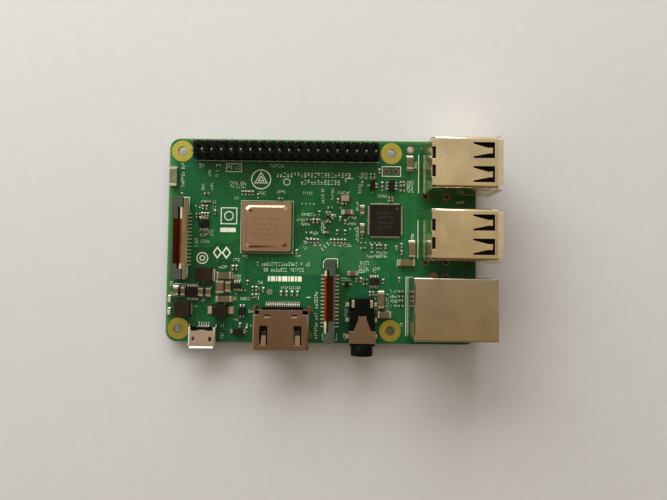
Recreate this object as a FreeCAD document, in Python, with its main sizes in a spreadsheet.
import FreeCAD, Part
import os
import re

import Sketcher

# A credit-card sized single board computer, in millimetres.
# The origin is the centre of the four mounting holes, on the underside of the board.
# +X runs along the board to the network and USB sockets, +Y to the pin header, +Z up.
# Places on the board are measured from its lower left corner, as on a board drawing.

SIZES = {
    # Circuit board and the pattern of its mounting holes
    "board_length": 85.0,
    "board_width": 56.0,
    "board_thick": 1.4,
    "board_corner": 3.0,
    "hole_inset": 3.5,
    "hole_pitch_x": 58.0,
    "hole_pitch_y": 49.0,
    "hole_radius": 1.375,
    "drill_radius": 0.5,
    "tab_drill_radius": 1.0,
    "tail_drop": 1.5,
    "sheet": 0.3,
    "lead": 0.2,
    # Pin header
    "header_x": 32.5,
    "header_y": 52.5,
    "header_pitch": 2.54,
    "header_columns": 20,
    "header_bevel": 0.5,
    "header_rise": 2.54,
    "pin_side": 0.64,
    "pin_rise": 8.5,
    "pin_tip": 0.4,
    "spare_x": 61.5,
    "spare_y": 47.5,
    "spare_pitch": 2.54,
    # Double USB socket, measured from the middle of its back face
    "usb_back": 69.9,
    "usb_upper_y": 47.05,
    "usb_lower_y": 29.05,
    "usb_width": 13.0,
    "usb_rise": 16.0,
    "usb_bend": 0.8,
    "usb_mouth": 16.4,
    "usb_divider_end": 17.5,
    "usb_lip_reach": 1.1,
    "usb_lip_flare": 0.45,
    "usb_lip_width": 11.3,
    "usb_lift": 0.4,
    "usb_port_rise": 5.15,
    "usb_port_low": 1.9,
    "usb_port_high": 10.55,
    "usb_block": 8.6,
    "usb_tongue_end": 15.9,
    "usb_tongue_width": 11.2,
    "usb_tongue_thick": 1.85,
    "usb_tongue_gap": 0.85,
    "usb_slot_start": 10.2,
    "usb_slot_end": 16.0,
    "usb_slot_width": 4.0,
    "usb_slot_offset": 3.0,
    "usb_spring_root": 3.2,
    "usb_spring_tip": 1.4,
    "usb_spring_bend": 14.1,
    "usb_spring_end": 15.1,
    "usb_spring_dip": 0.65,
    "usb_blade_end": 15.2,
    "usb_row_near": 2.6,
    "usb_row_far": 5.2,
    "usb_outer_pin": 3.5,
    "usb_inner_pin": 1.0,
    "usb_tail_width": 0.6,
    "usb_leg_near": 1.2,
    "usb_leg_far": 6.9,
    "usb_leg_width": 1.4,
    "usb_tab_width": 2.1,
    "usb_tab_inset": 1.7,
    "usb_middle_tab_width": 1.6,
    # Network socket, measured from the middle of its back face
    "net_back": 66.05,
    "net_y": 10.3,
    "net_length": 21.1,
    "net_width": 15.9,
    "net_rise": 13.5,
    "net_bend": 0.4,
    "net_lift": 0.3,
    "net_block": 6.2,
    "net_port_width": 11.9,
    "net_port_low": 2.4,
    "net_port_high": 10.7,
    "net_port_back": 7.4,
    "net_latch_width": 6.2,
    "net_latch_low": 1.0,
    "net_pin_pitch": 1.02,
    "net_pin_width": 0.46,
    "net_light_width": 2.8,
    "net_light_rise": 1.7,
    "net_light_low": 0.55,
    "net_light_y": 5.7,
    "net_light_length": 3.0,
    "net_leg_x": 10.6,
    "net_leg_width": 1.5,
    "net_seam_drop": 1.1,
    "net_seam_inner": 1.0,
    "net_seam_outer": 6.4,
    "net_slot_start": 12.9,
    "net_slot_end": 15.5,
    "net_slot_low": 5.6,
    "net_slot_high": 9.2,
    "net_notch_start": 17.3,
    "net_notch_end": 20.2,
    "net_notch_low": 12.2,
    "net_notch_high": 13.0,
    "net_spring_bend": 17.5,
    "net_spring_slant": 0.4,
    "net_spring_dip": 2.2,
    "net_tail_near": 1.6,
    "net_tail_far": 4.14,
    # Video socket, measured from the middle of its mouth
    "video_x": 32.05,
    "video_front": -1.3,
    "video_length": 10.5,
    "video_width": 14.8,
    "video_waist": 11.6,
    "video_low": 0.5,
    "video_knee_low": 1.9,
    "video_knee_high": 3.4,
    "video_rise": 6.1,
    "video_back_width": 11.4,
    "video_notch": 1.2,
    "video_block": 5.3,
    "video_tail_end": 12.4,
    "video_pin_pitch": 0.5,
    "video_pin_width": 0.24,
    "video_tongue_width": 11.4,
    "video_tongue_low": 3.1,
    "video_tongue_thick": 1.0,
    "video_tongue_start": 0.9,
    "video_spring_x": 4.5,
    "video_spring_width": 1.3,
    "video_slot_width": 2.1,
    "video_slot_start": 1.3,
    "video_slot_end": 6.4,
    "video_spring_end": 5.0,
    "video_leg_near": 3.3,
    "video_leg_far": 10.4,
    "video_leg_width": 1.8,
    "video_leg_top": 3.7,
    "video_spring_dip": 0.6,
    "video_lock_x": 3.6,
    "video_lock_width": 1.5,
    "video_lock_start": 8.9,
    "video_lock_end": 9.3,
    "video_lock_ramp": 0.5,
    "video_lock_dip": 0.2,
    "video_blade_end": 8.0,
    "video_tail_start": 8.6,
    # Power socket, measured from the middle of its mouth
    "power_x": 10.55,
    "power_front": -1.0,
    "power_length": 5.1,
    "power_width": 7.4,
    "power_waist": 5.6,
    "power_low": 0.15,
    "power_knee": 1.35,
    "power_rise": 2.75,
    "power_sheet": 0.25,
    "power_lip": 0.45,
    "power_lip_width": 6.4,
    "power_pin_pitch": 0.65,
    "power_pin_width": 0.3,
    "power_tail_end": 6.3,
    "power_leg_near": 2.6,
    "power_leg_far": 5.3,
    "power_leg_width": 1.0,
    "power_window_x": 2.25,
    "power_window_width": 0.8,
    "power_window_start": 1.35,
    "power_window_end": 2.55,
    "power_notch_inner": 1.1,
    "power_notch_outer": 3.0,
    "power_notch_start": 4.2,
    "power_cove_start": 4.45,
    "power_cove_low": 1.5,
    "power_block": 3.6,
    "power_tongue_start": 0.6,
    "power_tongue_width": 3.7,
    "power_tongue_low": 1.45,
    "power_tongue_high": 2.0,
    # Audio socket, measured from the middle of the board edge under it
    "audio_x": 53.6,
    "audio_width": 6.6,
    "audio_length": 12.3,
    "audio_waist_y": 8.6,
    "audio_waist_width": 3.9,
    "audio_rise": 5.6,
    "audio_axis": 3.0,
    "audio_barrel": 2.95,
    "audio_barrel_end": 2.75,
    "audio_bore": 1.8,
    "audio_bore_end": 8.4,
    "audio_tip_bore": 1.55,
    "audio_tip_end": 11.3,
    "audio_bracket_front": 0.6,
    "audio_bracket_back": 3.9,
    "audio_tongue_end": 7.8,
    "audio_tongue_width": 2.1,
    "audio_tongue_root": 4.6,
    "audio_tongue_taper": 0.8,
    "audio_yoke_low": 2.6,
    "audio_shoulder": 0.7,
    "audio_heel_rise": 2.2,
    "audio_leaf_inner": 2.1,
    "audio_leaf_outer": 2.8,
    "audio_leaf_start": 10.0,
    "audio_leaf_end": 12.0,
    "audio_leaf_rise": 4.6,
    "audio_foot_reach": 1.0,
    "audio_foot_width": 1.1,
    "audio_foot_near": 1.9,
    "audio_foot_middle": 6.4,
    "audio_foot_far": 10.6,
    # Flat cable connectors, measured from the middle of their footprint
    "camera_x": 44.9,
    "camera_y": 11.5,
    "display_x": 4.05,
    "display_y": 28.0,
    "flex_length": 22.0,
    "flex_width": 2.8,
    "flex_wall": 0.55,
    "flex_slot": 0.65,
    "flex_slot_length": 16.4,
    "flex_latch_low": 2.2,
    "flex_latch_head": 1.3,
    "flex_latch_rise": 5.7,
    "flex_latch_gap": 0.05,
    "flex_pin_pitch": 1.0,
    "flex_pin_width": 0.35,
    "flex_tail_reach": 1.1,
    "flex_film_length": 11.9,
    "flex_film_width": 2.3,
    "flex_film_thick": 0.1,
    # Memory card socket under the board, measured from the middle of its mouth
    "card_front": 1.4,
    "card_y": 28.0,
    "card_length": 12.0,
    "card_width": 14.0,
    "card_drop": 1.45,
    "card_cover": 0.2,
    "card_floor": 0.35,
    "card_slot_width": 11.4,
    "card_pin_pitch": 1.1,
    "card_pin_width": 0.5,
    "card_rail_start": 0.3,
    "card_back_wall": 1.0,
    "card_window_start": 6.6,
    "card_window_end": 9.6,
    "card_window_width": 2.0,
    "card_window_y": 3.0,
    "card_thumb_reach": 1.2,
    "card_thumb_width": 5.7,
    "card_tail_reach": 0.9,
    "card_spring_root": 4.0,
    "card_spring_start": 2.7,
    "card_spring_peak": 2.9,
    "card_spring_end": 3.4,
    "card_spring_high": 0.45,
    "card_spring_low": 0.6,
    "card_spring_under": 0.85,
    # Processor and other chips
    "processor_x": 27.3,
    "processor_y": 31.65,
    "processor_side": 14.0,
    "processor_rise": 0.9,
    "lid_side": 13.5,
    "lid_step": 11.6,
    "lid_top": 10.5,
    "lid_brim_rise": 1.25,
    "lid_rise": 1.65,
    "lid_corner": 0.8,
    "net_chip_x": 59.9,
    "net_chip_y": 33.8,
    "net_chip_side": 8.6,
    "net_chip_rise": 0.9,
    "net_chip_pitch": 0.5,
    "net_chip_pads": 16,
    "net_chip_pad_width": 0.26,
    "net_chip_pad_reach": 0.5,
    "memory_x": 27.3,
    "memory_y": 29.5,
    "memory_side": 11.5,
    "memory_drop": 0.9,
    "wireless_x": 17.5,
    "wireless_y": 44.0,
    "wireless_side": 5.0,
    "wireless_drop": 0.6,
    # Antenna at the left edge
    "antenna_x": 1.35,
    "antenna_y": 45.25,
    "antenna_width": 2.0,
    "antenna_length": 3.9,
    "antenna_rise": 1.1,
    "antenna_end": 0.7,
}

doc = FreeCAD.newDocument("single_board_computer")
sheet = doc.addObject("Spreadsheet::Sheet", "Sizes")
for row, (alias, size) in enumerate(SIZES.items(), start=1):
    sheet.set("A%d" % row, alias)
    sheet.set("B%d" % row, str(size))
    sheet.setAlias("B%d" % row, alias)
doc.recompute()


# Expressions, bodies and features

def bind(term):
    """Turns a sum of aliases and numbers into an expression on the sheet."""
    return re.sub(r"[a-z]\w*", lambda word: "Sizes." + word.group(), term)


def number(term):
    """Value of a term in millimetres."""
    return float(sheet.evalExpression(bind(term)))


def at(x, y, z="board_thick"):
    """Place in the model's frame of a point measured from the board's lower left corner."""
    left = "(%s) - hole_inset - hole_pitch_x/2" % x
    front = "(%s) - hole_inset - hole_pitch_y/2" % y
    return (left, front, z)


def set_place(thing, place):
    for axis, term in zip("xyz", place):
        thing.setExpression(".Placement.Base." + axis, bind(term))


def new_body(label, place=("0", "0", "0")):
    body = doc.addObject("PartDesign::Body", label)
    body.Label = label
    body.AllowCompound = True
    set_place(body, place)
    return body


def rectangle(across, along):
    """Corner terms of a rectangle from two (low, high) pairs."""
    (left, right), (low, high) = across, along
    return [(left, low), (right, low), (right, high), (left, high)]


def centred(width, middle="0"):
    """The (low, high) pair of a width about a middle."""
    return ("%s - (%s)/2" % (middle, width), "%s + (%s)/2" % (middle, width))


def fix_point(sketch, rules, terms, geometry, corner, x, y):
    """Constrains a point of the sketch to two terms."""
    for kind, axis, term in (("DistanceX", -2, x), ("DistanceY", -1, y)):
        if abs(number(term)) < 1e-9:
            rules.append(Sketcher.Constraint("PointOnObject", geometry, corner, axis))
            terms.append(None)
        else:
            rules.append(Sketcher.Constraint(kind, -1, 1, geometry, corner, number(term)))
            terms.append(term)


def draw(sketch, shapes):
    """Draws outlines, as lists of corner terms, and circles, as (x, y, radius) terms."""
    rules = []
    terms = []
    for shape in shapes:
        first = sketch.GeometryCount
        if isinstance(shape, tuple):
            x, y, radius = shape
            centre = FreeCAD.Vector(number(x), number(y), 0)
            circle = Part.Circle(centre, FreeCAD.Vector(0, 0, 1), number(radius))
            sketch.addGeometry(circle, False)
            fix_point(sketch, rules, terms, first, 3, x, y)
            rules.append(Sketcher.Constraint("Radius", first, number(radius)))
            terms.append(radius)
            continue
        corners = [FreeCAD.Vector(number(x), number(y), 0) for x, y in shape]
        sides = zip(corners, corners[1:] + corners[:1])
        sketch.addGeometry([Part.LineSegment(start, end) for start, end in sides], False)
        for index, (x, y) in enumerate(shape):
            following = first + (index + 1) % len(shape)
            rules.append(Sketcher.Constraint("Coincident", first + index, 2, following, 1))
            terms.append(None)
            fix_point(sketch, rules, terms, first + index, 1, x, y)
    sketch.addConstraint(rules)
    for index, term in enumerate(terms):
        if term is not None:
            sketch.setExpression("Constraints[%d]" % index, bind(term))


def new_sketch(body, name, plane, shapes, level):
    """A sketch on one of the body's origin planes, moved to a level along the third axis."""
    sketch = body.newObject("Sketcher::SketchObject", name + "_sketch")
    role = plane + "_Plane"
    support = [feature for feature in body.Origin.OriginFeatures if feature.Role == role][0]
    sketch.AttachmentSupport = [(support, "")]
    sketch.MapMode = "FlatFace"
    # The normal of the XZ plane points along -Y.
    sign = "-" if plane == "XZ" else ""
    sketch.setExpression(".AttachmentOffset.Base.z", bind("%s(%s)" % (sign, level)))
    draw(sketch, shapes)
    return sketch


def extrude(kind, body, name, plane, shapes, span):
    """A Pad or Pocket of outlines from the low to the high end of a span."""
    low, high = span
    sketch = new_sketch(body, name, plane, shapes, low)
    feature = body.newObject("PartDesign::" + kind, name)
    feature.Profile = sketch
    feature.setExpression("Length", bind("(%s) - (%s)" % (high, low)))
    feature.Reversed = (plane == "XZ") != (kind == "Pocket")
    doc.recompute()
    return feature


def pad(body, name, plane, shapes, span):
    return extrude("Pad", body, name, plane, shapes, span)


def pocket(body, name, plane, shapes, span):
    return extrude("Pocket", body, name, plane, shapes, span)


def embed(metal, plastic, name, plane, shapes, span):
    """Pads a contact and cuts its seat in the plastic round it."""
    made = pad(metal, name, plane, shapes, span)
    seat = pocket(plastic, name + "_seat", plane, shapes, span)
    return made, seat


def loft(body, name, plane, sections):
    """A ruled loft through (outline, level) sections."""
    sketches = []
    for index, (shape, level) in enumerate(sections):
        sketches.append(new_sketch(body, "%s_%d" % (name, index), plane, [shape], level))
    feature = body.newObject("PartDesign::AdditiveLoft", name)
    feature.Profile = sketches[0]
    feature.Sections = sketches[1:]
    feature.Ruled = True
    doc.recompute()
    return feature


def repeat(body, name, features, axis, count, length):
    """Repeats features along one of the body's axes, over a whole length."""
    role = axis + "_Axis"
    line = [feature for feature in body.Origin.OriginFeatures if feature.Role == role][0]
    pattern = body.newObject("PartDesign::LinearPattern", name)
    pattern.Originals = features
    pattern.Direction = (line, [""])
    pattern.setExpression("Length", bind(length))
    pattern.setExpression("Occurrences", bind(count))
    body.Tip = pattern
    doc.recompute()
    return pattern


def edges_near(feature, direction, points):
    """Names of the feature's straight edges along a direction that pass near the points."""
    names = []
    for index, edge in enumerate(feature.Shape.Edges, start=1):
        start, end = edge.Vertexes[0].Point, edge.Vertexes[-1].Point
        run = end - start
        if run.Length < 1e-6 or run.cross(direction).Length > 1e-6 * run.Length:
            continue
        for point in points:
            offset = point - start
            if (offset - direction * offset.dot(direction)).Length < 1e-3:
                names.append("Edge%d" % index)
                break
    return names


def fillet(body, name, direction, points, radius):
    """Rounds the straight edges along a direction that pass through the points."""
    base = body.Tip
    feature = body.newObject("PartDesign::Fillet", name)
    places = [FreeCAD.Vector(*[number(term) for term in point]) for point in points]
    feature.Base = (base, edges_near(base, direction, places))
    feature.setExpression("Radius", bind(radius))
    doc.recompute()
    return feature


ALONG_X = FreeCAD.Vector(1, 0, 0)
ALONG_Y = FreeCAD.Vector(0, 1, 0)
ALONG_Z = FreeCAD.Vector(0, 0, 1)
UNDERSIDE = "-board_thick - tail_drop"


def new_box(name, place, across, along, rise):
    """A Part::Box from three (low, high) pairs about a place."""
    box = doc.addObject("Part::Box", name)
    pairs = (across, along, rise)
    for side, (low, high) in zip(("Length", "Width", "Height"), pairs):
        box.setExpression(side, bind("(%s) - (%s)" % (high, low)))
    set_place(box, ["(%s) + (%s)" % (base, pair[0]) for base, pair in zip(place, pairs)])
    return box


def new_group(label, solids):
    """One node of several separate solids."""
    group = doc.addObject("Part::Compound", label)
    group.Label = label
    group.Links = solids
    return group


# Circuit board

def make_board(drills, slots):
    """The board, with its mounting holes, its pin drills and its wider tab drills."""
    board = new_body("circuit_board", at("0", "0", "0"))
    outline = rectangle(("0", "board_length"), ("0", "board_width"))
    pad(board, "plate", "XY", [outline], ("0", "board_thick"))
    corners = [(x, y, "0") for x, y in outline]
    fillet(board, "board_corners", ALONG_Z, corners, "board_corner")
    far_x = "hole_inset + hole_pitch_x"
    far_y = "hole_inset + hole_pitch_y"
    holes = [(x, y, "hole_radius") for x in ("hole_inset", far_x) for y in ("hole_inset", far_y)]
    through = ("0", "board_thick")
    pocket(board, "mounting_holes", "XY", holes, through)
    pocket(board, "pin_drills", "XY", [(x, y, "drill_radius") for x, y in drills], through)
    pocket(board, "tab_drills", "XY", [(x, y, "tab_drill_radius") for x, y in slots], through)
    first_x = "header_x - header_pitch*(header_columns - 1)/2"
    rows = [(first_x, "header_y %s header_pitch/2" % sign, "drill_radius") for sign in "-+"]
    header = pocket(board, "header_drills", "XY", rows, through)
    run = "header_pitch*(header_columns - 1)"
    repeat(board, "header_drill_rows", [header], "X", "header_columns", run)


# Pin header

def make_header():
    """The black strip of square cells, and the pins pressed through it."""
    place = at("header_x - header_pitch*(header_columns - 1)/2", "header_y")
    run = "header_pitch*(header_columns - 1)"
    half_x = "header_pitch/2"
    cell = [
        ("-header_pitch/2 + header_bevel", "-header_pitch"),
        ("header_pitch/2 - header_bevel", "-header_pitch"),
        (half_x, "-header_pitch + header_bevel"),
        (half_x, "header_pitch - header_bevel"),
        ("header_pitch/2 - header_bevel", "header_pitch"),
        ("-header_pitch/2 + header_bevel", "header_pitch"),
        ("-header_pitch/2", "header_pitch - header_bevel"),
        ("-header_pitch/2", "-header_pitch + header_bevel"),
    ]
    middles = ("-header_pitch/2", "header_pitch/2")
    squares = [rectangle(centred("pin_side"), centred("pin_side", y)) for y in middles]
    base = new_body("pin_header_base", place)
    block = pad(base, "cell", "XY", [cell], ("0", "header_rise"))
    wells = pocket(base, "pin_seats", "XY", squares, ("0", "header_rise"))
    repeat(base, "cells", [block, wells], "X", "header_columns", run)
    pins = new_body("pin_header_pins", place)
    shaft = pad(pins, "shafts", "XY", squares, (UNDERSIDE, "pin_rise - pin_tip"))
    tips = pad(pins, "tips", "XY", squares, ("pin_rise - pin_tip", "pin_rise"))
    tips.TaperAngle = -25
    doc.recompute()
    repeat(pins, "pin_rows", [shaft, tips], "X", "header_columns", run)


# Double USB sockets

USB_DRILLS = []
USB_SLOTS = []
USB_MIDDLES = {"usb_upper": "usb_upper_y", "usb_lower": "usb_lower_y"}


def make_usb_shell(name, middle):
    """The folded shell round two stacked ports, with its lips, springs and legs."""
    place = at("usb_back", middle)
    half = "usb_width/2"
    inner = "usb_width/2 - sheet"
    roof = "usb_rise - sheet"
    across = (("-(%s)" % inner), inner)

    shell = new_body(name + "_shell", place)
    channel = [
        ("-usb_width/2", "usb_lift"), ("-(%s)" % inner, "usb_lift"),
        ("-(%s)" % inner, roof), (inner, roof),
        (inner, "usb_lift"), (half, "usb_lift"),
        (half, "usb_rise"), ("-usb_width/2", "usb_rise"),
    ]
    pad(shell, name + "_walls", "YZ", [channel], ("0", "usb_mouth"))
    bends = [("0", "-usb_width/2", "usb_rise"), ("0", half, "usb_rise")]
    fillet(shell, name + "_bends", ALONG_X, bends, "usb_bend")
    notch = rectangle(("0", "3*sheet"), across)
    pocket(shell, name + "_back_notch", "XY", [notch], (roof, "usb_rise"))
    floor = rectangle(across, ("usb_port_low - sheet", "usb_port_low"))
    pad(shell, name + "_floor", "YZ", [floor], ("usb_block + sheet", "usb_mouth"))

    lip_end = "usb_mouth + usb_lip_reach"
    lips = [
        [("usb_mouth", roof), (lip_end, "%s + usb_lip_flare" % roof),
         (lip_end, "usb_rise + usb_lip_flare"), ("usb_mouth", "usb_rise")],
        [("usb_mouth", "usb_port_low - sheet"), (lip_end, "usb_port_low - sheet - usb_lip_flare"),
         (lip_end, "usb_port_low - usb_lip_flare"), ("usb_mouth", "usb_port_low")],
    ]
    pad(shell, name + "_lips", "XZ", lips, centred("usb_lip_width"))
    side_lip = [
        ("usb_mouth", inner), (lip_end, "%s + usb_lip_flare" % inner),
        (lip_end, "%s + usb_lip_flare" % half), ("usb_mouth", half),
    ]
    other_lip = [(x, "-(%s)" % y) for x, y in reversed(side_lip)]
    side_span = ("usb_port_low + usb_bend", "usb_rise - usb_bend")
    pad(shell, name + "_side_lips", "XY", [side_lip, other_lip], side_span)

    windows = []
    for side in ("-usb_slot_offset", "usb_slot_offset"):
        windows.append(rectangle(("usb_slot_start", "usb_slot_end"), centred("usb_slot_width", side)))
    pocket(shell, name + "_roof_slots", "XY", windows, (roof, "usb_rise"))
    for index, side in enumerate(("-usb_slot_offset", "usb_slot_offset")):
        dip = "%s - usb_spring_dip" % roof
        sections = [
            (rectangle(centred("usb_spring_root", side), (roof, "usb_rise")), "usb_slot_start"),
            (rectangle(centred("usb_spring_tip", side), (dip, dip + " + sheet")), "usb_spring_bend"),
            (rectangle(centred("usb_spring_tip", side), (dip + " + sheet", dip + " + 2*sheet")),
             "usb_spring_end"),
        ]
        loft(shell, "%s_roof_spring_%d" % (name, index), "YZ", sections)

    port_middles = ["usb_port_high + usb_port_rise/2", "usb_port_low + usb_port_rise/2"]
    side_windows = []
    for middle_z in port_middles:
        side_windows.append(
            rectangle(("usb_slot_start", "usb_spring_end + sheet"), centred("usb_spring_tip", middle_z)))
    wide = ("-usb_width/2", half)
    pocket(shell, name + "_side_slots", "XZ", side_windows, wide)
    spring = [
        ("usb_slot_start", inner), ("usb_spring_bend", "%s - sheet" % inner),
        ("usb_spring_end", inner), ("usb_spring_end", half),
        ("usb_spring_bend", inner), ("usb_slot_start", half),
    ]
    other_spring = [(x, "-(%s)" % y) for x, y in reversed(spring)]
    for index, middle_z in enumerate(port_middles):
        span = centred("usb_spring_tip - 2*sheet", middle_z)
        pad(shell, "%s_side_springs_%d" % (name, index), "XY", [spring, other_spring], span)

    legs = []
    for x in ("usb_leg_near", "usb_leg_far"):
        legs.append(rectangle(centred("usb_leg_width", x), (inner, half)))
        legs.append(rectangle(centred("usb_leg_width", x), ("-usb_width/2", "-(%s)" % inner)))
        for sign in "-+":
            USB_SLOTS.append(("usb_back + " + x, "%s %s (usb_width/2 - sheet/2)" % (middle, sign)))
    pad(shell, name + "_legs", "XY", legs, (UNDERSIDE, "usb_lift"))


def make_usb_inner_pieces():
    """What both double sockets hold: plastic, tongues, dividers, back covers and contacts."""
    place = at("usb_back", "0")
    half_space = "(usb_width/2 - sheet)"
    roof = "usb_rise - sheet"
    cover_top = "usb_rise - 2*sheet - usb_lip_flare"
    shelf_low = "usb_port_low + usb_port_rise"
    shelf_high = "usb_port_high - sheet"
    covers = new_body("usb_back_covers", place)
    dividers = new_body("usb_dividers", place)
    tongues = new_body("usb_tongues", place)
    contacts = new_body("usb_contacts", place)
    tails = []
    for name, middle in USB_MIDDLES.items():
        across = centred("2*" + half_space, middle)
        pad(covers, name + "_plate", "YZ", [rectangle(across, ("usb_lift", cover_top))], ("0", "sheet"))
        tabs = [centred("usb_middle_tab_width", middle)]
        for sign in "-+":
            outer = "%s %s (usb_width/2 - usb_tab_inset)" % (middle, sign)
            tabs.append(centred("usb_tab_width", outer))
        low_tabs = [rectangle(("0", "sheet"), tab) for tab in tabs]
        pad(covers, name + "_tabs", "XY", low_tabs, (cover_top, "usb_rise"))
        hooks = [rectangle(("sheet", "3*sheet"), tab) for tab in tabs]
        pad(covers, name + "_hooks", "XY", hooks, (roof, "usb_rise"))

        shelves = [rectangle(across, (low, low + " + sheet")) for low in (shelf_low, shelf_high)]
        pad(dividers, name + "_shelves", "YZ", shelves, ("usb_block + sheet", "usb_divider_end - sheet"))
        front = rectangle(across, (shelf_low, "usb_port_high"))
        pad(dividers, name + "_front", "YZ", [front], ("usb_divider_end - sheet", "usb_divider_end"))

        block = new_body(name + "_insulator", at("usb_back", middle))
        body = rectangle(("sheet", "usb_block"), centred("2*" + half_space))
        pad(block, name + "_block", "XY", [body], ("0", roof))
        for port, row in (("usb_port_high", "usb_row_near"), ("usb_port_low", "usb_row_far")):
            top = "%s + usb_port_rise - usb_tongue_gap" % port
            low = top + " - usb_tongue_thick"
            tongue = rectangle(centred("usb_tongue_width", middle), (low, top))
            pad(tongues, "%s_%s_tongue" % (name, port[9:]), "YZ", [tongue], ("usb_block", "usb_tongue_end"))
            blade = [
                (row, "0"), (row + " + lead", "0"), (row + " + lead", low + " - lead"),
                ("usb_blade_end", low + " - lead"), ("usb_blade_end", low), (row, low),
            ]
            for index, pin in enumerate(("-usb_outer_pin", "-usb_inner_pin",
                                         "usb_inner_pin", "usb_outer_pin")):
                label = "%s_%s_blade_%d" % (name, port[9:], index)
                side = "%s + (%s)" % (middle, pin)
                pad(contacts, label, "XZ", [blade], centred("usb_tail_width", side))
                pocket(block, label + "_seat", "XZ", [blade], centred("usb_tail_width", pin))
                tails.append(rectangle((row, row + " + lead"), centred("usb_tail_width", side)))
                USB_DRILLS.append(("usb_back + %s + lead/2" % row, side))
    pad(contacts, "usb_tails", "XY", tails, (UNDERSIDE, "0"))


# Network socket

NET_DRILLS = []
NET_SLOTS = []


def make_network_socket():
    """A folded shield round a plastic jack, with its contacts, magnetics and light guides."""
    place = at("net_back", "net_y")
    half = "net_width/2"
    inner = "net_width/2 - sheet"
    roof = "net_rise - sheet"
    front = "net_length - sheet"

    shield = new_body("network_shield", place)
    outside = rectangle(("0", "net_length"), centred("net_width"))
    pad(shield, "shield_block", "XY", [outside], ("net_lift", "net_rise"))
    bends = [("0", "-net_width/2", "net_rise"), ("0", half, "net_rise")]
    fillet(shield, "shield_bends", ALONG_X, bends, "net_bend")
    hollow = rectangle(("sheet", front), ("-(%s)" % inner, inner))
    pocket(shield, "shield_hollow", "XY", [hollow], ("net_lift", roof))
    lights = []
    for sign in "-+":
        middle = "0 %s net_light_y" % sign
        light_top = "net_light_low + net_light_rise"
        lights.append(rectangle(centred("net_light_width", middle), ("net_light_low", light_top)))
    front_window = rectangle(centred("net_port_width"), ("net_port_low", "net_port_high"))
    latch_window = rectangle(centred("net_latch_width"), ("net_latch_low", "net_port_low"))
    pocket(shield, "front_window", "YZ", [front_window], (front, "net_length"))
    pocket(shield, "latch_window", "YZ", [latch_window], (front, "net_length"))
    pocket(shield, "light_windows", "YZ", lights, (front, "net_length"))
    seams = [rectangle(("0", "sheet"), ("net_seam_inner", "net_seam_outer")),
             rectangle(("0", "sheet"), ("-net_seam_outer", "-net_seam_inner"))]
    pocket(shield, "back_seams", "XY", seams, ("net_rise - net_seam_drop", "net_rise"))
    side_slots = [rectangle(("net_slot_start", "net_slot_end"), ("net_slot_low", "net_slot_high")),
                  rectangle(("net_notch_start", "net_notch_end"), ("net_notch_low", "net_notch_high"))]
    pocket(shield, "side_slots", "XZ", side_slots, ("-net_width/2", half))
    legs = []
    for sign in "-+":
        leg_y = (inner, half) if sign == "+" else ("-net_width/2", "-(%s)" % inner)
        legs.append(rectangle(centred("net_leg_width", "net_leg_x"), leg_y))
        NET_SLOTS.append(("net_back + net_leg_x", "net_y %s (net_width/2 - sheet/2)" % sign))
    pad(shield, "shield_legs", "XY", legs, (UNDERSIDE, "net_lift"))

    housing = new_body("network_housing", place)
    jack = rectangle(("net_block", front), ("-(%s)" % inner, inner))
    pad(housing, "jack_block", "XY", [jack], ("0", roof))
    cavity = rectangle(centred("net_port_width"), ("net_port_low", "net_port_high"))
    pocket(housing, "plug_cavity", "YZ", [cavity], ("net_port_back", front))
    latch_way = rectangle(centred("net_latch_width"), ("net_latch_low", "net_port_low"))
    pocket(housing, "latch_way", "YZ", [latch_way], ("net_port_back + 2*net_light_length", front))
    pocket(housing, "light_seats", "YZ", lights, ("net_length - net_light_length", front))

    for colour, sign in (("green", "-"), ("amber", "+")):
        light = new_body("network_light_" + colour, place)
        middle = "0 %s net_light_y" % sign
        window = rectangle(centred("net_light_width", middle), ("net_light_low", light_top))
        pad(light, colour + "_guide", "YZ", [window], ("net_length - net_light_length", "net_length"))

    magnetics = new_body("network_magnetics", place)
    module = rectangle(("sheet + lead", "net_block"), ("-(%s) + lead" % inner, "%s - lead" % inner))
    pad(magnetics, "magnetics_block", "XY", [module], ("net_lift", roof + " - lead"))

    contacts = new_body("network_contacts", place)
    top = "net_port_high"
    tip = "net_port_back + net_spring_dip"
    dip = top + " - net_spring_dip"
    spring = [
        ("net_block + sheet", top), ("net_block + sheet", top + " + lead"),
        ("net_spring_bend - net_spring_slant", top + " + lead"), ("net_spring_bend", top),
        (tip, dip), (tip + " - lead", dip + " + lead"), ("net_spring_bend - 2*net_spring_slant", top),
    ]
    first = "-net_pin_pitch*3.5"
    run = "net_pin_pitch*7"
    made, seat = embed(contacts, housing, "spring", "XZ", [spring], centred("net_pin_width", first))
    repeat(contacts, "springs", [made], "Y", "8", run)
    repeat(housing, "spring_seats", [seat], "Y", "8", run)
    tails = []
    for index in range(8):
        pin_y = "net_pin_pitch*%s" % (index - 3.5)
        pin_x = "net_tail_near" if index % 2 else "net_tail_far"
        tails.append(rectangle(centred("net_pin_width", pin_x), centred("net_pin_width", pin_y)))
        NET_DRILLS.append(("net_back + " + pin_x, "net_y + " + pin_y))
    pad(contacts, "network_tails", "XY", tails, (UNDERSIDE, "net_lift"))


# Video socket

VIDEO_SLOTS = []


def video_profile(inset):
    """The mouth outline, wide above a slanted waist, drawn in from the outside by an inset."""
    half = "video_width/2 - " + inset
    waist = "video_waist/2 - " + inset
    low = "video_low + " + inset
    high = "video_rise - " + inset
    right = [(waist, low), (waist, "video_knee_low"), (half, "video_knee_high"), (half, high)]
    left = [("-(%s)" % x, z) for x, z in reversed(right)]
    return right + left


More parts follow.
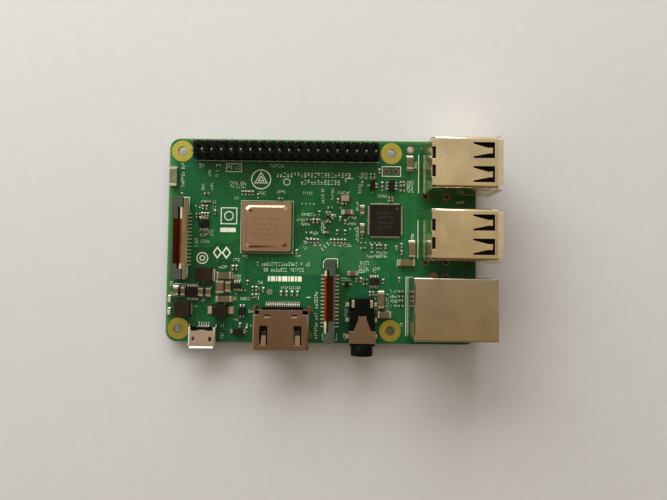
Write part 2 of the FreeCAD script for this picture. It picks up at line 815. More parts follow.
def make_video_socket():
    """A folded shell with two roof springs, a plastic tongue and a fine row of contacts."""
    place = at("video_x", "video_front")
    shell = new_body("video_shell", place)
    roof = "video_rise - sheet"
    pad(shell, "video_tube", "XZ", [video_profile("0")], ("0", "video_length"))
    bends = [("-video_width/2", "0", "video_rise"), ("video_width/2", "0", "video_rise")]
    fillet(shell, "video_bends", ALONG_Y, bends, "sheet + lead")
    pocket(shell, "video_hollow", "XZ", [video_profile("sheet")], ("0", "video_length - sheet"))
    open_back = rectangle(centred("video_waist - 2*sheet"), ("video_low", "video_knee_low"))
    back = ("video_length - sheet", "video_length")
    pocket(shell, "video_back_window", "XZ", [open_back], back)
    corners = []
    for sign in "-+":
        middle = "0 %s (video_width + video_back_width)/4" % sign
        width = "(video_width - video_back_width)/2"
        corners.append(rectangle(centred(width, middle), ("video_length - video_notch", "video_length")))
    pocket(shell, "video_back_corners", "XY", corners, ("video_knee_high", "video_rise"))
    slots = []
    for sign in "-+":
        middle = "0 %s video_spring_x" % sign
        slots.append(rectangle(centred("video_slot_width", middle), ("video_slot_start", "video_slot_end")))
    pocket(shell, "video_roof_slots", "XY", slots, (roof, "video_rise"))
    for index, sign in enumerate("-+"):
        middle = "0 %s video_spring_x" % sign
        root = rectangle(centred("video_spring_width", middle), (roof, "video_rise"))
        width = centred("video_spring_width", middle)
        dip = rectangle(width, (roof + " - video_spring_dip", roof + " - video_spring_dip + lead"))
        tip = rectangle(width, (roof + " - lead", roof))
        bend = "video_spring_end - 2*video_spring_dip"
        sections = [(root, "video_slot_start"), (dip, bend), (tip, "video_spring_end")]
        loft(shell, "video_spring_%d" % index, "XZ", sections)
    locks = []
    for sign in "-+":
        width = centred("video_lock_width", "0 %s video_lock_x" % sign)
        locks.append(rectangle(width, ("video_lock_start", "video_lock_end")))
    pocket(shell, "video_roof_locks", "XY", locks, (roof, "video_rise"))
    ramp_start = "video_lock_start - video_lock_ramp"
    ramp = [
        (ramp_start, "video_rise"), ("video_lock_start", "video_rise - video_lock_dip"),
        ("video_lock_start", "video_rise"),
    ]
    for index, sign in enumerate("-+"):
        width = centred("video_lock_width", "0 %s video_lock_x" % sign)
        pocket(shell, "video_lock_ramp_%d" % index, "YZ", [ramp], width)
    legs = []
    for y in ("video_leg_near", "video_leg_far"):
        for sign in "-+":
            side = "0 %s (video_width/2 - sheet/2)" % sign
            legs.append(rectangle(centred("sheet", side), centred("video_leg_width", y)))
            VIDEO_SLOTS.append(("video_x %s (video_width/2 - sheet/2)" % sign, "video_front + " + y))
    pad(shell, "video_legs", "XY", legs, (UNDERSIDE, "video_leg_top"))

    plastic = new_body("video_insulator", place)
    block_end = "video_length - sheet"
    pad(plastic, "video_block", "XZ", [video_profile("sheet")], ("video_block", block_end))
    corners_in = []
    for sign in "-+":
        middle = "0 %s (video_width + video_back_width)/4" % sign
        width = "(video_width - video_back_width)/2"
        corners_in.append(rectangle(centred(width, middle), ("video_length - video_notch", block_end)))
    pocket(plastic, "video_block_corners", "XY", corners_in, ("video_knee_low", roof))
    foot = rectangle(centred("video_waist - 2*sheet"), ("video_low", "video_knee_low"))
    pad(plastic, "video_foot", "XZ", [foot], (block_end, "video_length + 2*sheet"))
    tongue = rectangle(centred("video_tongue_width"),
                       ("video_tongue_low", "video_tongue_low + video_tongue_thick"))
    pad(plastic, "video_tongue", "XZ", [tongue], ("video_tongue_start", "video_block"))

    contacts = new_body("video_contacts", place)
    top = "video_tongue_low + video_tongue_thick"
    blade_rows = (
        ("upper", "10", "-video_pin_pitch*9", "video_pin_pitch*18", top, top + " + lead"),
        ("lower", "9", "-video_pin_pitch*8", "video_pin_pitch*16",
         "video_tongue_low - lead", "video_tongue_low"),
    )
    for name, count, first, run, low, high in blade_rows:
        blade = rectangle(centred("video_pin_width", first), (low, high))
        reach = ("video_tongue_start + lead", "video_blade_end")
        made, seat = embed(contacts, plastic, name, "XZ", [blade], reach)
        repeat(contacts, name + "_blades", [made], "X", count, run)
        repeat(plastic, name + "_seats", [seat], "X", count, run)
    high = "video_low + sheet"
    foot_start = "video_tail_end - 2*sheet"
    tail = [
        ("video_tail_start", high), (foot_start + " - sheet", high), (foot_start + " - lead/2", "0"),
        ("video_tail_end", "0"), ("video_tail_end", "lead"), (foot_start, "lead"),
        (foot_start + " - lead", high + " + lead"), ("video_tail_start", high + " + lead"),
    ]
    first = "-video_pin_pitch*9"
    span = centred("video_pin_width", first)
    made, seat = embed(contacts, plastic, "video_tail", "YZ", [tail], span)
    repeat(contacts, "video_tails", [made], "X", "19", "video_pin_pitch*18")
    repeat(plastic, "video_tail_seats", [seat], "X", "19", "video_pin_pitch*18")


# Power socket

POWER_SLOTS = []


def power_profile(inset):
    """The small socket's outline: a flat roof, short sides and a narrower floor."""
    half = "power_width/2 - " + inset
    waist = "power_waist/2 - " + inset
    high = "power_rise - " + inset
    right = [(waist, "power_low + " + inset), (half, "power_knee"), (half, high)]
    left = [("-(%s)" % x, z) for x, z in reversed(right)]
    return right + left


def make_power_socket():
    """A short folded shell with a flared mouth, a plastic tongue and five contacts."""
    place = at("power_x", "power_front")
    shell = new_body("power_shell", place)
    roof = "power_rise - power_sheet"
    pad(shell, "power_tube", "XZ", [power_profile("0")], ("0", "power_length"))
    bends = [("-power_width/2", "0", "power_rise"), ("power_width/2", "0", "power_rise")]
    fillet(shell, "power_bends", ALONG_Y, bends, "power_sheet + lead")
    pocket(shell, "power_hollow", "XZ", [power_profile("power_sheet")], ("0", "power_length"))
    lip = [("0", roof), ("0", "power_rise"), ("-power_lip", "power_rise + power_lip/2"),
           ("-power_lip", "%s + power_lip/2" % roof)]
    pad(shell, "power_roof_lip", "YZ", [lip], centred("power_lip_width"))
    floor_lip = [("0", "power_low"), ("0", "power_low + power_sheet"), ("-power_lip", "power_sheet"),
                 ("-power_lip", "0")]
    pad(shell, "power_floor_lip", "YZ", [floor_lip], centred("power_waist - 1"))
    windows = []
    for side in ("-power_window_x", "power_window_x"):
        width = centred("power_window_width", side)
        windows.append(rectangle(width, ("power_window_start", "power_window_end")))
    pocket(shell, "power_windows", "XY", windows, (roof, "power_rise"))
    back = "power_length"
    notches = [
        rectangle(("power_notch_inner", "power_notch_outer"), ("power_notch_start", back)),
        rectangle(("-power_notch_outer", "-power_notch_inner"), ("power_notch_start", back)),
        rectangle(("-power_notch_inner", "power_notch_inner"), ("power_cove_start", back)),
    ]
    pocket(shell, "power_back_notches", "XY", notches, (roof, "power_rise"))
    legs = []
    for y in ("power_leg_near", "power_leg_far"):
        for sign in "-+":
            side = "0 %s (power_width/2 - power_sheet/2)" % sign
            legs.append(rectangle(centred("power_sheet", side), centred("power_leg_width", y)))
    pad(shell, "power_legs", "XY", legs, ("0", "power_knee + power_sheet"))

    plastic = new_body("power_insulator", place)
    inner = power_profile("power_sheet")
    pad(plastic, "power_filling", "XZ", [inner], ("power_block", back))
    pocket(plastic, "power_coves", "XY", notches, ("power_cove_low", roof))
    tongue = rectangle(centred("power_tongue_width"), ("power_tongue_low", "power_tongue_high"))
    pad(plastic, "power_tongue", "XZ", [tongue], ("power_tongue_start", "power_block"))

    contacts = new_body("power_contacts", place)
    tip = "power_tongue_start + lead"
    high = "power_tongue_low"
    strip = [
        (tip, high + " - lead"), (back, high + " - lead"), (back, "0"), ("power_tail_end", "0"),
        ("power_tail_end", "lead"), (back + " + lead", "lead"), (back + " + lead", high), (tip, high),
    ]
    first = "-power_pin_pitch*2"
    span = centred("power_pin_width", first)
    made, seat = embed(contacts, plastic, "power_strip", "YZ", [strip], span)
    repeat(contacts, "power_strips", [made], "X", "5", "power_pin_pitch*4")
    repeat(plastic, "power_seats", [seat], "X", "5", "power_pin_pitch*4")


# Audio socket

def make_audio_socket():
    """A black jack body with a round barrel, a sprung bracket over it and side contacts."""
    place = at("audio_x", "0")
    body = new_body("audio_body", place)
    half = "audio_width/2"
    waist = "audio_waist_width/2"
    shoulder = "audio_waist_y + audio_shoulder"
    plan = [
        ("-audio_width/2", "0"), (half, "0"), (half, "audio_waist_y"), (waist, shoulder),
        (waist, "audio_length"), ("-audio_waist_width/2", "audio_length"),
        ("-audio_waist_width/2", shoulder), ("-audio_width/2", "audio_waist_y"),
    ]
    pad(body, "audio_block", "XY", [plan], ("0", "audio_rise"))
    barrel = ("0", "audio_axis", "audio_barrel")
    pad(body, "audio_barrel", "XZ", [barrel], ("-audio_barrel_end", "0"))
    heel = rectangle(centred("audio_width"), ("audio_waist_y", "audio_length"))
    pad(body, "audio_heel", "XY", [heel], ("0", "audio_heel_rise"))
    bore = ("0", "audio_axis", "audio_bore")
    pocket(body, "audio_bore", "XZ", [bore], ("-audio_barrel_end", "audio_bore_end"))
    tip_bore = ("0", "audio_axis", "audio_tip_bore")
    pocket(body, "audio_tip_bore", "XZ", [tip_bore], ("audio_bore_end", "audio_tip_end"))

    bracket = new_body("audio_bracket", place)
    low = "audio_yoke_low"
    yoke = [
        ("-audio_width/2 - lead", low), ("-audio_width/2", low), ("-audio_width/2", "audio_rise"),
        (half, "audio_rise"), (half, low), ("audio_width/2 + lead", low),
        ("audio_width/2 + lead", "audio_rise + lead"), ("-audio_width/2 - lead", "audio_rise + lead"),
    ]
    pad(bracket, "audio_yoke", "XZ", [yoke], ("audio_bracket_front", "audio_bracket_back"))
    side = "audio_tongue_width/2"
    taper = "audio_tongue_end - audio_tongue_taper"
    tongue = [
        ("-audio_tongue_root/2", "audio_bracket_back"), ("audio_tongue_root/2", "audio_bracket_back"),
        (side, taper), (side, "audio_tongue_end"),
        ("-audio_tongue_width/2", "audio_tongue_end"), ("-audio_tongue_width/2", taper),
    ]
    pad(bracket, "audio_tongue", "XY", [tongue], ("audio_rise", "audio_rise + lead"))

    contacts = new_body("audio_contacts", place)
    leaf_span = ("audio_leaf_start", "audio_leaf_end")
    leaves = [rectangle(("audio_leaf_inner", "audio_leaf_outer"), leaf_span),
              rectangle(("-audio_leaf_outer", "-audio_leaf_inner"), leaf_span)]
    pad(contacts, "audio_leaves", "XY", leaves, ("audio_heel_rise", "audio_leaf_rise"))
    feet = []
    for y in ("audio_foot_near", "audio_foot_middle", "audio_foot_far"):
        for sign in "-+":
            middle = "0 %s (audio_width + audio_foot_reach)/2" % sign
            width = centred("audio_foot_reach", middle)
            feet.append(rectangle(width, centred("audio_foot_width", y)))
    pad(contacts, "audio_feet", "XY", feet, ("0", "lead"))


# Flat cable connectors

def turned_x(points, side):
    """The outline as drawn, or mirrored across the connector's length when side is -1."""
    if side > 0:
        return points
    return [("-(%s)" % x, y) for x, y in reversed(points)]


def make_flex_socket(name, place, side, film_middle):
    """An upright cable connector: housing, pull-up latch, contacts and a strip of film.

    The latch is on the +X side when side is 1 and on the -X side when side is -1.
    """
    half = "flex_width/2"
    wall_low = "-flex_width/2"
    slot_low = "-flex_width/2 + flex_wall"
    slot_high = "-flex_width/2 + flex_wall + flex_slot"
    tongue_high = slot_high + " + flex_slot"
    ledge = "flex_latch_rise - flex_latch_head"
    ear = "flex_slot_length/2"
    end = "flex_length/2"

    def box(across, along):
        return turned_x(rectangle(across, along), side)

    housing = new_body(name + "_housing", place)
    pad(housing, name + "_base", "XY", [box((wall_low, half), centred("flex_length"))], ("0", ledge))
    wall = box((wall_low, slot_low), centred("flex_slot_length"))
    pad(housing, name + "_wall", "XY", [wall], (ledge, "flex_latch_rise"))
    trough = box((slot_low, tongue_high), centred("flex_slot_length"))
    pocket(housing, name + "_trough", "XY", [trough], ("flex_latch_low - flex_latch_gap", ledge))
    guides = []
    for sign in "-+":
        middle = "0 %s (flex_length + flex_slot_length)/4" % sign
        guides.append(rectangle(centred("flex_slot"), centred("flex_slot", middle)))
    pocket(housing, name + "_guides", "XY", guides, ("flex_latch_low - flex_latch_gap", ledge))

    latch = new_body(name + "_latch", place)
    head = box((slot_high, half), centred("flex_length"))
    pad(latch, name + "_head", "XY", [head], (ledge, "flex_latch_rise"))
    ears = [
        box((wall_low, slot_high), (ear + " + flex_latch_gap", end)),
        box((wall_low, slot_high), ("-(%s)" % end, "-(%s) - flex_latch_gap" % ear)),
    ]
    pad(latch, name + "_ears", "XY", ears, (ledge, "flex_latch_rise"))
    tongue_span = (slot_high, tongue_high + " - flex_latch_gap")
    tongue = box(tongue_span, centred("flex_slot_length - 2*flex_slot"))
    pad(latch, name + "_tongue", "XY", [tongue], ("flex_latch_low", ledge))
    pegs = []
    for sign in "-+":
        middle = "0 %s (flex_length + flex_slot_length)/4" % sign
        peg = "flex_slot - 2*flex_latch_gap"
        pegs.append(rectangle(centred(peg), centred(peg, middle)))
    pad(latch, name + "_pegs", "XY", pegs, ("flex_latch_low", ledge))

    contacts = new_body(name + "_contacts", place)
    far_tail = "flex_width/2 + flex_tail_reach" if side > 0 else slot_low + " + lead"
    fork = [
        ("-flex_width/2 - flex_tail_reach", "0"), (far_tail, "0"), (far_tail, "lead"),
        (slot_low + " + lead", "lead"), (slot_low + " + lead", ledge), (slot_low, ledge),
        (slot_low, "lead"), ("-flex_width/2 - flex_tail_reach", "lead"),
    ]
    if side < 0:
        fork = fork[:2] + fork[4:]
    span = centred("flex_pin_width", "-flex_pin_pitch*7")
    made, seat = embed(contacts, housing, name + "_fork", "XZ", [turned_x(fork, side)], span)
    repeat(contacts, name + "_forks", [made], "Y", "15", "flex_pin_pitch*14")
    repeat(housing, name + "_fork_seats", [seat], "Y", "15", "flex_pin_pitch*14")

    film = new_body(name + "_film", place)
    strip = box((wall_low, "-flex_width/2 + flex_film_width"), centred("flex_film_length", film_middle))
    pad(film, name + "_strip", "XY", [strip], ("flex_latch_rise", "flex_latch_rise + flex_film_thick"))


# Memory card socket on the underside, with its mouth towards -X

def make_card_socket():
    """A thin metal cover over a plastic base, with eight spring contacts."""
    place = at("card_front", "card_y", "0")
    cover = new_body("card_socket_cover", place)
    half = "card_width/2"
    inner = "card_width/2 - card_cover"
    channel = [
        ("-card_width/2", "-card_drop"), (half, "-card_drop"), (half, "0"), (inner, "0"),
        (inner, "-card_drop + card_cover"), ("-(%s)" % inner, "-card_drop + card_cover"),
        ("-(%s)" % inner, "0"), ("-card_width/2", "0"),
    ]
    pad(cover, "card_channel", "YZ", [channel], ("0", "card_length"))
    windows = [rectangle(("0", "card_thumb_reach"), centred("card_thumb_width"))]
    for y in ("-card_window_y", "card_window_y"):
        along = centred("card_window_width", y)
        windows.append(rectangle(("card_window_start", "card_window_end"), along))
    pocket(cover, "card_windows", "XY", windows, ("-card_drop", "-card_drop + card_cover"))

    base = new_body("card_socket_base", place)
    run = ("card_rail_start", "card_length")
    slab = rectangle(run, ("-(%s)" % inner, inner))
    pad(base, "card_slab", "XY", [slab], ("-card_floor", "0"))
    rails = [
        rectangle(run, ("card_slot_width/2", inner)),
        rectangle(run, ("-(%s)" % inner, "-card_slot_width/2")),
        rectangle(("card_length - card_back_wall", "card_length"), centred("card_slot_width")),
    ]
    pad(base, "card_rails", "XY", rails, ("-card_drop + card_cover", "-card_floor"))

    contacts = new_body("card_socket_contacts", place)
    tail_end = "card_length + card_tail_reach"
    root = "card_length - card_spring_root"
    strip = [
        (tail_end, "-card_cover"), (tail_end, "0"), ("card_length - lead", "0"),
        (root, "-card_cover/2"), ("card_spring_end", "-card_spring_low"),
        ("card_spring_peak", "-card_spring_high"), ("card_spring_start", "-card_spring_low"),
        ("card_spring_end - lead/2", "-card_spring_under"), (root, "-1.5*card_cover"),
        ("card_length - lead", "-card_cover"),
    ]
    span = centred("card_pin_width", "-card_pin_pitch*3.5")
    made, seat = embed(contacts, base, "card_spring", "XZ", [strip], span)
    repeat(contacts, "card_springs", [made], "Y", "8", "card_pin_pitch*7")
    repeat(base, "card_spring_seats", [seat], "Y", "8", "card_pin_pitch*7")


# Chips

def square(side):
    return rectangle(centred(side), centred(side))


def cut_square(half, cut):
    """A square about the origin, with its four corners cut off."""
    short = "%s - %s" % (half, cut)
    return [
        ("-(%s)" % short, "-" + half), (short, "-" + half),
        (half, "-(%s)" % short), (half, short),
        (short, half), ("-(%s)" % short, half),
        ("-" + half, short), ("-" + half, "-(%s)" % short),
    ]


def make_block(label, place, side, span):
    body = new_body(label, place)
    pad(body, label + "_block", "XY", [square(side)], span)
    return body


def make_processor():
    """The chip package and the stepped metal lid over it."""
    place = at("processor_x", "processor_y")
    make_block("processor_package", place, "processor_side", ("0", "processor_rise"))
    lid = new_body("processor_lid", place)
    pad(lid, "lid_brim", "XY", [square("lid_side")], ("processor_rise", "lid_brim_rise"))
    brim = [("%s lid_side/2" % a, "%s lid_side/2" % b, "0") for a in ("-", "0 +") for b in ("-", "0 +")]
    fillet(lid, "lid_brim_corners", ALONG_Z, brim, "board_thick/2")
    sections = [
        (cut_square("lid_step/2", "lid_corner"), "lid_brim_rise"),
        (cut_square("lid_top/2", "lid_corner"), "lid_rise"),
    ]
    loft(lid, "lid_plateau", "XY", sections)


def make_network_chip():
    """A square chip with a row of pads on each of its four sides."""
    place = at("net_chip_x", "net_chip_y")
    make_block("network_chip_body", place, "net_chip_side", ("lead/2", "net_chip_rise"))
    pads = new_body("network_chip_pads", place)
    first = "-net_chip_pitch*(net_chip_pads - 1)/2"
    run = "net_chip_pitch*(net_chip_pads - 1)"
    reach = "net_chip_side/2 + net_chip_pad_reach"
    for axis in "XY":
        pair = []
        for low, high in (("net_chip_side/2 - lead", reach), ("-(%s)" % reach, "-net_chip_side/2 + lead")):
            width = centred("net_chip_pad_width", first)
            pair.append(rectangle(width, (low, high)) if axis == "X" else rectangle((low, high), width))
        made = pad(pads, "chip_pads_" + axis.lower(), "XY", pair, ("0", "lead/2"))
        repeat(pads, "chip_pad_row_" + axis.lower(), [made], axis, "net_chip_pads", run)


# Small parts placed in groups. A place is (x, y) from the board's corner.

def solid_box(name, x, y, low, sizes):
    """A block of three sizes standing on a level over a place on the board."""
    long, wide, tall = sizes
    across = ("-%.3f" % (long/2), "%.3f" % (long/2))
    along = ("-%.3f" % (wide/2), "%.3f" % (wide/2))
    return new_box(name, at("%.3f" % x, "%.3f" % y), across, along, (low, "%s + %.3f" % (low, tall)))


def upright(sizes, turned):
    """Swaps length and width for a part that stands along Y."""
    long, wide, tall = sizes
    return (wide, long, tall) if turned else sizes


def with_ends(name, x, y, sizes, end, turned):
    """The body of a two-ended part and its two metal ends, face to face."""
    long, wide, tall = sizes
    shift = (long - end)/2
    body = solid_box(name, x, y, "0", upright((long - 2*end, wide, tall), turned))
    ends = []
    for sign in (-1, 1):
        move_x, move_y = (0, sign*shift) if turned else (sign*shift, 0)
        sizes_end = upright((end, wide, tall), turned)
        ends.append(solid_box(name + "_end", x + move_x, y + move_y, "0", sizes_end))
    return body, ends


def make_two_ended(label_body, label_ends, parts, end):
    """A node of bodies and a node of ends for parts of (x, y, sizes, turned)."""
    bodies = []
    caps = []
    for index, (x, y, sizes, turned) in enumerate(parts):
        body, ends = with_ends("%s_%d" % (label_body, index), x, y, sizes, end, turned)
        bodies.append(body)
        caps.extend(ends)
    new_group(label_body, bodies)
    new_group(label_ends, caps)


LARGE_CAPACITORS = [
    (2.8, 13.7, (2.2, 1.4, 1.1), True),
    (4.7, 13.7, (2.2, 1.1, 1.0), True),
    (9.6, 13.6, (2.1, 1.4, 1.1), True),
    (11.7, 13.6, (2.1, 1.4, 1.1), True),
    (15.9, 18.1, (3.8, 1.8, 1.2), False),
    (14.8, 15.0, (3.1, 2.1, 1.2), True),
    (17.0, 15.1, (2.6, 1.5, 1.1), True),
    (16.0, 11.7, (4.1, 1.6, 1.2), False),
    (49.5, 36.0, (2.5, 1.3, 0.9), False),
    (53.6, 36.6, (2.0, 1.1, 0.9), True),
    (53.6, 31.4, (2.2, 1.1, 0.9), True),
    (66.6, 49.8, (3.4, 1.8, 1.2), True),
    (67.3, 25.9, (4.1, 1.7, 1.2), True),
    (65.8, 22.2, (4.2, 1.7, 1.2), False),
    (58.9, 11.9, (4.2, 1.7, 1.2), True),
    (59.8, 7.9, (3.5, 1.7, 1.2), False),
    (51.1, 19.1, (2.4, 1.1, 0.9), False),
]

# Rows of tiny parts: first place, step to the next, how many, and whether they stand along Y.
TINY_CAPACITORS = [
    (9.7, 38.4, 1.3, 0, 2, False), (9.6, 36.8, 1.0, 0, 2, True), (9.4, 34.8, 0.8, 0, 3, True),
    (18.1, 20.3, 1.0, 0, 2, True), (24.7, 14.6, 0, -2.0, 2, True), (26.6, 14.3, 0, 0, 1, True),
    (30.95, 39.6, 0, 0, 1, False), (31.5, 13.4, 1.5, 0, 4, True), (35.6, 24.8, 0, 0, 1, True),
    (40.1, 33.4, 1.1, 0, 2, True), (44.2, 35.85, 0, -2.6, 2, False), (43.7, 30.3, 0, 0, 1, False),
    (45.4, 34.6, 0, 0, 1, True), (47.5, 34.1, 1.4, -0.9, 2, True), (46.8, 39.1, 0, 0, 1, True),
    (53.5, 43.95, 0, 0, 1, True), (58.2, 47.5, 0, 0, 1, True), (64.6, 44.5, 0, -0.9, 2, False),
    (56.3, 26.5, 0, 0, 1, True), (60.1, 26.5, 0, 0, 1, True), (64.5, 25.0, 0, 1.9, 2, True),
    (63.05, 26.2, 0, 0, 1, True), (55.9, 13.6, 0.9, 0, 2, True), (64.4, 14.3, 0, -2.5, 2, False),
    (52.1, 17.3, 1.3, 0, 2, True), (61.4, 39.3, 0, 0, 1, False), (13.6, 48.6, 0, 0, 1, False),
    (20.4, 4.5, 0, 0, 1, True), (63.9, 17.5, 0, 0, 1, True),
]
TINY_RESISTORS = [
    (8.3, 35.0, 0, -0.9, 2, False), (12.9, 35.5, 0, 0, 1, True), (10.7, 30.0, 0, 0, 1, True),
    (22.2, 16.2, 0, 0, 1, True), (21.1, 14.1, 0, 0, 1, False), (23.7, 14.6, 0, -2.1, 2, True),
    (22.2, 3.4, 0, 0, 1, True), (20.4, 40.95, 0.93, 0, 4, True), (24.7, 40.2, 0, 0, 1, True),
    (38.6, 27.9, 0.93, 0, 4, True), (45.0, 27.9, 0.98, 0, 5, True), (38.8, 33.8, 0, 0, 1, False),
    (44.7, 37.2, 0, 0, 1, False), (46.7, 30.4, 2.2, 0, 2, True), (41.7, 35.6, 0, 0, 1, True),
    (56.35, 46.7, 0, -1.0, 2, False), (64.6, 42.2, 0, 0, 1, False), (61.4, 40.2, 0, 0, 1, False),
    (57.8, 26.5, 0.9, 0, 2, True), (53.9, 26.1, 0, 0, 1, False), (53.6, 29.3, 0, 0, 1, True),
    (64.4, 12.9, 0, -2.6, 2, False), (54.6, 17.4, 0, -1.2, 2, False), (10.5, 40.7, 0, 0, 1, False),
    (59.0, 43.9, 0, -1.2, 2, True), (48.6, 38.4, 0, 0, 1, False), (59.5, 17.0, 0, 0, 1, True),
]
TINY_SIZES = (1.0, 0.5, 0.5)
TINY_RESISTOR_SIZES = (1.0, 0.5, 0.35)
TINY_END = 0.25
LARGE_END = 0.4


def tiny_places(rows):
    places = []
    for x, y, step_x, step_y, count, turned in rows:
        for index in range(count):
            places.append((x + index*step_x, y + index*step_y, turned))
    return places


def make_passives():
    """Ceramic capacitors and thick film resistors, grouped by kind."""
    make_two_ended("large_capacitor_bodies", "large_capacitor_ends", LARGE_CAPACITORS, LARGE_END)
    caps = []
    for label, rows, sizes in (
        ("chip_capacitor_bodies", TINY_CAPACITORS, TINY_SIZES),
        ("chip_resistor_bodies", TINY_RESISTORS, TINY_RESISTOR_SIZES),
    ):
        bodies = []
        for index, (x, y, turned) in enumerate(tiny_places(rows)):
            body, ends = with_ends("%s_%d" % (label, index), x, y, sizes, TINY_END, turned)
            bodies.append(body)
            caps.extend(ends)
        new_group(label, bodies)
    new_group("chip_end_caps", caps)


# Small chips: place, sizes, leads on each of the two opposite sides, and whether those are the Y sides.
SMALL_CHIPS = [
    (7.3, 13.4, (3.2, 2.9, 1.0), (5, 5), True),
    (9.95, 32.35, (2.5, 2.4, 0.9), (4, 4), True),
    (20.9, 8.4, (1.7, 2.2, 0.9), (2, 2), True),
    (19.4, 15.3, (2.0, 1.4, 0.8), (3, 3), True),
    (19.9, 2.9, (2.8, 1.3, 0.8), (2, 2), False),
    (56.35, 43.5, (1.4, 2.8, 0.9), (1, 2), False),
    (61.6, 43.5, (1.7, 2.7, 0.9), (3, 3), False),
    (57.0, 16.9, (2.6, 2.0, 0.8), (4, 4), True),
    (44.15, 34.55, (0.8, 0.85, 0.6), (1, 1), True),
    (49.55, 16.1, (1.3, 1.1, 0.8), (1, 1), False),
]
LEAD_PITCH = 0.85
LEAD_WIDTH = 0.35
LEAD_REACH = 0.55
LEAD_RISE = 0.3


def make_small_chips():
    """Regulators, drivers and transistors, each a moulded block over flat leads."""
    bodies = []
    leads = []
    for index, (x, y, sizes, counts, on_y) in enumerate(SMALL_CHIPS):
        long, wide, tall = sizes
        bodies.append(solid_box("chip_%d" % index, x, y, "%.2f" % (LEAD_RISE/2), (long, wide, tall)))
        room = long if on_y else wide
        for sign, count in zip((-1, 1), counts):
            pitch = min(LEAD_PITCH, room/count)
            for step in range(count):
                slide = (step - (count - 1)/2)*pitch
                out = ((wide if on_y else long) + LEAD_REACH)/2*sign
                lead_x, lead_y = (x + slide, y + out) if on_y else (x + out, y + slide)
                sizes_lead = upright((LEAD_REACH, LEAD_WIDTH, LEAD_RISE), on_y)
                leads.append(solid_box("lead_%d" % index, lead_x, lead_y, "0", sizes_lead))
    new_group("small_chip_bodies", bodies)
    new_group("small_chip_leads", leads)


INDUCTORS = [
    (10.4, 18.2, (4.2, 3.9, 2.0)),
    (4.8, 8.9, (4.1, 4.1, 2.0)),
]
TERMINAL_LONG = 1.2
TERMINAL_WIDE = 3.0
TERMINAL_RISE = 0.25
TERMINAL_REACH = 0.15
STATUS_LIGHTS = [
    (0.95, 11.5, (1.7, 0.8, 0.6), True),
    (0.95, 8.1, (1.7, 0.8, 0.6), True),
]
DIODE_PLACE = (15.05, 8.6)
DIODE_SIZES = (4.0, 3.4, 2.0)
DIODE_LEAD_OUT = 2.35
DIODE_LEAD_SIZES = (1.9, 2.0, LEAD_RISE)


def make_power_parts():
    """Two power inductors, a surge diode and two indicator lights."""
    cores = []
    terminals = []
    for x, y, (long, wide, tall) in INDUCTORS:
        core_sizes = (long, wide, tall - TERMINAL_RISE)
        cores.append(solid_box("inductor_core", x, y, "%.2f" % TERMINAL_RISE, core_sizes))
        for sign in (-1, 1):
            terminal_x = x + sign*(long/2 + TERMINAL_REACH - TERMINAL_LONG/2)
            terminal_sizes = (TERMINAL_LONG, TERMINAL_WIDE, TERMINAL_RISE)
            terminals.append(solid_box("inductor_terminal", terminal_x, y, "0", terminal_sizes))
    new_group("inductor_cores", cores)
    new_group("inductor_terminals", terminals)
    diode_x, diode_y = DIODE_PLACE
    body = solid_box("diode", diode_x, diode_y, "%.2f" % LEAD_RISE, DIODE_SIZES)
    new_group("power_diode_body", [body])
    leads = []
    for sign in (-1, 1):
        lead_x = diode_x + sign*DIODE_LEAD_OUT
        leads.append(solid_box("diode_lead", lead_x, diode_y, "0", DIODE_LEAD_SIZES))
    new_group("power_diode_leads", leads)
    make_two_ended("status_lights", "status_light_ends", STATUS_LIGHTS, LARGE_END)


def make_antenna():
    """A ceramic aerial block with a metal pad at each end."""
    place = at("antenna_x", "antenna_y")
    span = ("0", "antenna_rise")
    body = new_body("antenna_body", place)
    core = rectangle(centred("antenna_width"), centred("antenna_length"))
    pad(body, "antenna_core", "XY", [core], span)
    pads = new_body("antenna_pads", place)
    ends = []
    for sign in "-+":
        middle = "0 %s (antenna_length + antenna_end)/2" % sign
        ends.append(rectangle(centred("antenna_width"), centred("antenna_end", middle)))
    pad(pads, "antenna_ends", "XY", ends, span)


TOP_CRYSTAL = (48.8, 39.8)
LOW_CRYSTAL = (38.0, 33.0)
CRYSTAL_CASE = (2.5, 2.0, 0.45)
CRYSTAL_LID = (2.1, 1.6, 0.2)


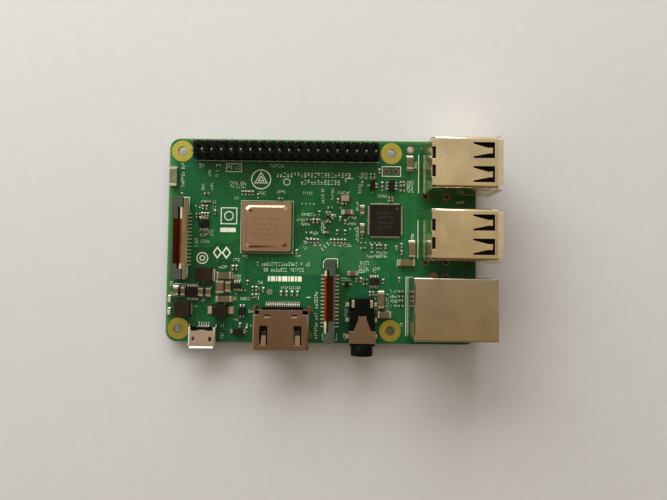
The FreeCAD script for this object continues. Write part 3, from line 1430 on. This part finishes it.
def make_crystals():
    """A ceramic case with a metal lid on the top, and one on the underside."""
    case_rise = CRYSTAL_CASE[2]
    lid_rise = CRYSTAL_LID[2]
    top_levels = ("0", "%.2f" % case_rise)
    low_levels = ("-board_thick - %.2f" % case_rise, "-board_thick - %.2f" % (case_rise + lid_rise))
    cases = []
    lids = []
    for (x, y), (case_low, lid_low) in ((TOP_CRYSTAL, top_levels), (LOW_CRYSTAL, low_levels)):
        cases.append(solid_box("crystal_case", x, y, case_low, CRYSTAL_CASE))
        lids.append(solid_box("crystal_lid", x, y, lid_low, CRYSTAL_LID))
    new_group("crystal_cases", cases)
    new_group("crystal_lids", lids)


# The model

make_header()
for usb_name, usb_middle in USB_MIDDLES.items():
    make_usb_shell(usb_name, usb_middle)
make_usb_inner_pieces()
make_network_socket()
make_video_socket()
make_power_socket()
make_audio_socket()
make_flex_socket("camera_socket", at("camera_x", "camera_y"), 1, "0.9")
make_flex_socket("display_socket", at("display_x", "display_y"), -1, "-0.8")
make_card_socket()
make_processor()
make_network_chip()
make_block("memory_chip", at("memory_x", "memory_y", "-memory_drop"), "memory_side", ("0", "memory_drop"))
make_block("wireless_chip", at("wireless_x", "wireless_y", "-wireless_drop"), "wireless_side",
           ("0", "wireless_drop"))
make_antenna()
make_passives()
make_small_chips()
make_power_parts()
make_crystals()
SPARE_DRILLS = [("spare_x %s spare_pitch/2" % sign, "spare_y") for sign in "-+"]
make_board(USB_DRILLS + NET_DRILLS + SPARE_DRILLS, USB_SLOTS + NET_SLOTS + VIDEO_SLOTS)


# Every piece is checked, and then written to a file of its own name

def check_model():
    """Stops on a failed feature, an empty or broken shape, or a cut that takes nothing away."""
    for thing in doc.Objects:
        if "Invalid" in thing.State or "Error" in thing.State:
            raise RuntimeError("%s has failed: %s" % (thing.Name, thing.State))
        if thing.TypeId in ("PartDesign::Pocket", "PartDesign::Groove"):
            removed = thing.BaseFeature.Shape.Volume - thing.Shape.Volume
            if removed < 1e-6:
                raise RuntimeError("%s takes nothing away" % thing.Name)


def write_pieces():
    os.makedirs("parts", exist_ok=True)
    for piece in doc.Objects:
        is_node = piece.TypeId in ("PartDesign::Body", "Part::Compound", "Part::Feature")
        if not is_node:
            continue
        shape = piece.Shape
        if shape.isNull() or not shape.isValid():
            raise RuntimeError("%s has no valid shape" % piece.Label)
        shape.exportStep(os.path.join("parts", piece.Label + ".step"))
        print("%-28s %3d solids %10.2f mm3" % (piece.Label, len(shape.Solids), shape.Volume))


doc.recompute()
check_model()
write_pieces()
